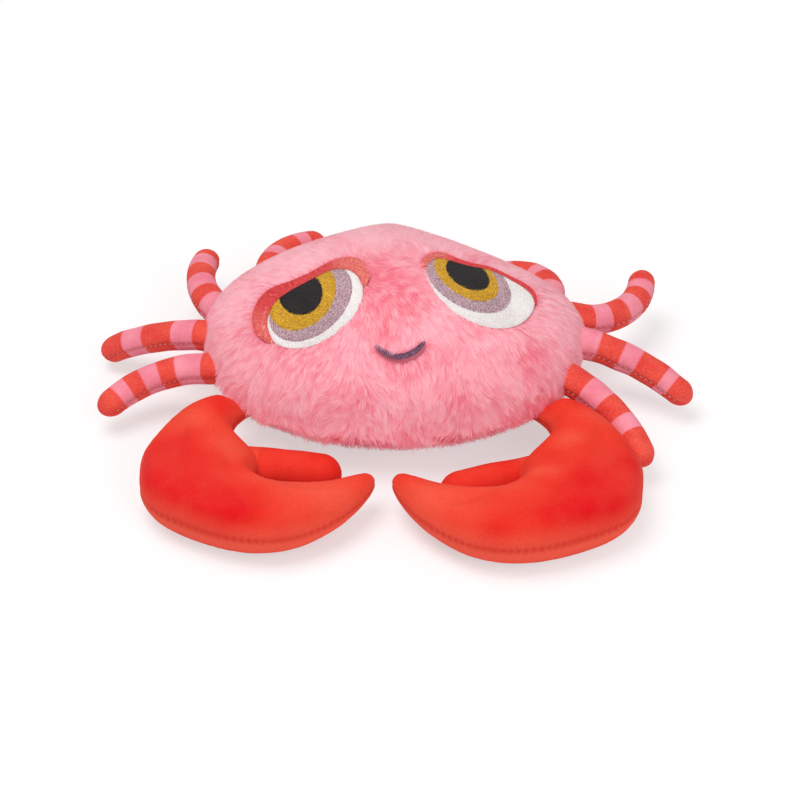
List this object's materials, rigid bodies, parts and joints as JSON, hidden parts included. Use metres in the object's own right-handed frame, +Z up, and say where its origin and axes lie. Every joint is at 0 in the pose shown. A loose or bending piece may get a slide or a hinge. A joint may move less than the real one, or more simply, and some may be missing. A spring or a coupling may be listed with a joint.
{
  "type": "plush crab",
  "caption": "Soft stuffed crab lying flat, with a round long-pile body, flat hooked velour claws with small thumbs, curved striped legs and an embroidered sleepy face.",
  "frame": {"origin": "middle of the flat spot under the body, on the ground", "axes": "+Z up, the face looks towards -Y, +X to the viewer's right"},
  "size_m": [0.2949, 0.2393, 0.077],
  "materials": {
    "pink_pile": "long combed pile",
    "orange_velour": "short velour pile",
    "striped_velour": "short velour pile, printed in red and pink stripes",
    "lid_thread": "embroidery thread",
    "white_thread": "embroidery thread",
    "mauve_thread": "embroidery thread",
    "gold_thread": "embroidery thread",
    "black_thread": "embroidery thread",
    "plum_thread": "embroidery thread"
  },
  "bodies": {
    "root": {"body": "pink_pile", "claw_left": "orange_velour", "claw_right": "orange_velour", "claw_thumb_left": "orange_velour", "claw_thumb_right": "orange_velour", "leg_left_1": "striped_velour", "leg_left_2": "striped_velour", "leg_left_3": "striped_velour", "leg_left_4": "striped_velour", "leg_right_1": "striped_velour", "leg_right_2": "striped_velour", "leg_right_3": "striped_velour", "leg_right_4": "striped_velour", "eyelid_left": "lid_thread", "eyelid_right": "lid_thread", "eye_white_left": "white_thread", "eye_white_right": "white_thread", "eye_ring_left": "mauve_thread", "eye_ring_right": "mauve_thread", "iris_left": "gold_thread", "iris_right": "gold_thread", "pupil_left": "black_thread", "pupil_right": "black_thread", "mouth": "plum_thread"}
  },
  "joints": []
}
